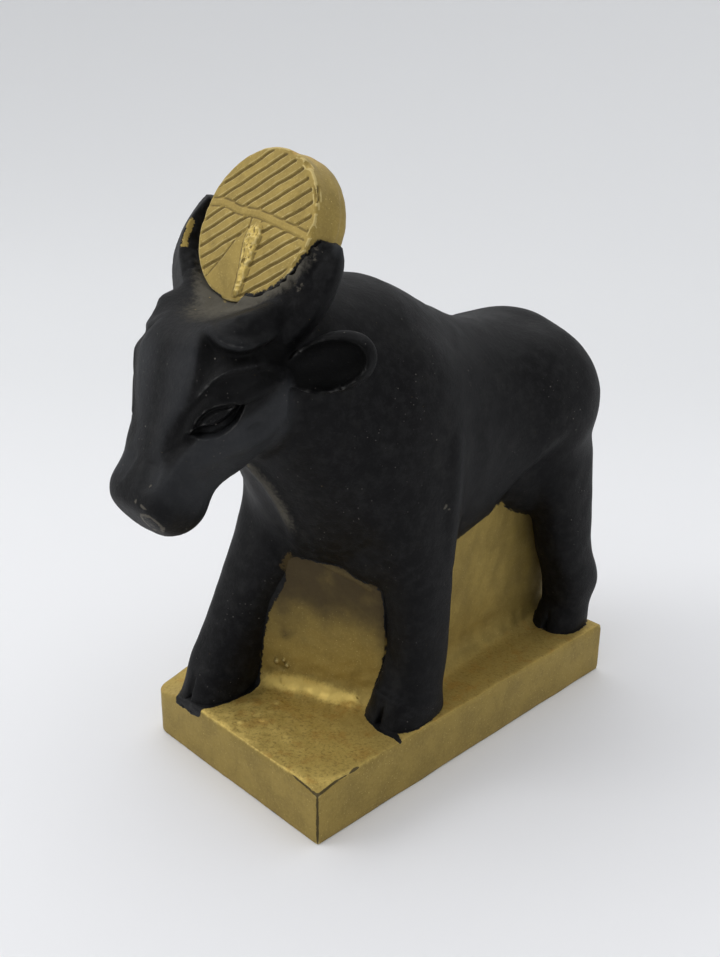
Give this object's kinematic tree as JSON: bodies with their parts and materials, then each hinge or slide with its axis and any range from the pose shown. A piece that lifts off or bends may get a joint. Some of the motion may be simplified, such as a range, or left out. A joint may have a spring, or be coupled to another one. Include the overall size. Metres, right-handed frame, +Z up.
{
  "type": "hathor cow figurine",
  "caption": "Small cast and painted figurine: a striding black cow with a gold sun disc between its horns, on a gold rectangular base that carries on up as a web between the legs.",
  "frame": {"origin": "centre of the base's underside", "axes": "+Z up; the cow looks along -Y; +X is the cow's own left side"},
  "size_m": [0.04, 0.0883, 0.0908],
  "materials": {
    "black_paint": "satin black paint on cast resin, worn grey at the edges",
    "gold_paint": "brushed olive gold paint on the same casting: base, web between the legs and disc"
  },
  "bodies": {
    "root": {"figurine": "black_paint"}
  },
  "joints": []
}
